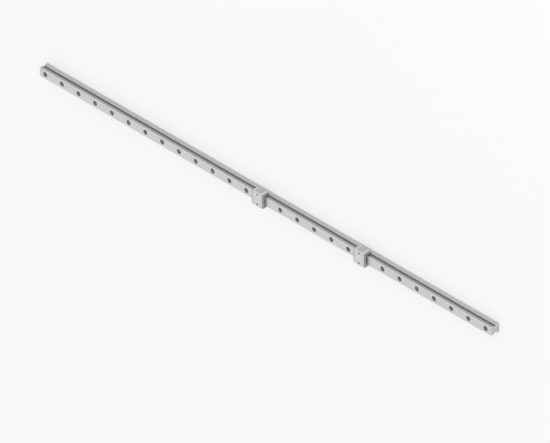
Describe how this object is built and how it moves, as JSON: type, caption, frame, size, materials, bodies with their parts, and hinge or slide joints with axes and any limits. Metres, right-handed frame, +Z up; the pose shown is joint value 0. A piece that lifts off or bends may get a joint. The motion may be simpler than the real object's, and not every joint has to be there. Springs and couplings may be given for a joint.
{
  "type": "linear guide rail",
  "caption": "Profiled steel linear guide rail with a row of counterbored screw holes, carrying short ball carriages that slide along its head.",
  "frame": {"origin": "middle of the rail's base, on the surface it rests on", "axes": "+X along the rail, towards the end nearest the second carriage; +Y across the rail; +Z up, out of the face with the screw holes"},
  "size_m": [1.6, 0.043, 0.0365],
  "materials": {
    "rail_steel": "ground",
    "block_steel": "ground",
    "cap_plastic": "moulded",
    "seal_rubber": "moulded",
    "ball_steel": "polished",
    "screw_steel": "satin"
  },
  "bodies": {
    "rail": {"rail": "rail_steel"},
    "carriage_a": {"carriage_a_block": "block_steel", "carriage_a_front_balls": "ball_steel", "carriage_a_back_balls": "ball_steel", "carriage_a_left_cap": "cap_plastic", "carriage_a_right_cap": "cap_plastic", "carriage_a_left_seal": "seal_rubber", "carriage_a_right_seal": "seal_rubber", "carriage_a_left_screw_1": "screw_steel", "carriage_a_left_screw_2": "screw_steel", "carriage_a_right_screw_1": "screw_steel", "carriage_a_right_screw_2": "screw_steel"},
    "carriage_b": {"carriage_b_block": "block_steel", "carriage_b_front_balls": "ball_steel", "carriage_b_back_balls": "ball_steel", "carriage_b_left_cap": "cap_plastic", "carriage_b_right_cap": "cap_plastic", "carriage_b_left_seal": "seal_rubber", "carriage_b_right_seal": "seal_rubber", "carriage_b_left_screw_1": "screw_steel", "carriage_b_left_screw_2": "screw_steel", "carriage_b_right_screw_1": "screw_steel", "carriage_b_right_screw_2": "screw_steel"}
  },
  "joints": [
    {"name": "carriage_a_slide", "type": "slide", "parent": "rail", "child": "carriage_a", "axis": [1, 0, 0], "range_m": [-0.767, 0.1595]},
    {"name": "carriage_b_slide", "type": "slide", "parent": "rail", "child": "carriage_b", "axis": [1, 0, 0], "range_m": [-0.1595, 0.434]}
  ]
}
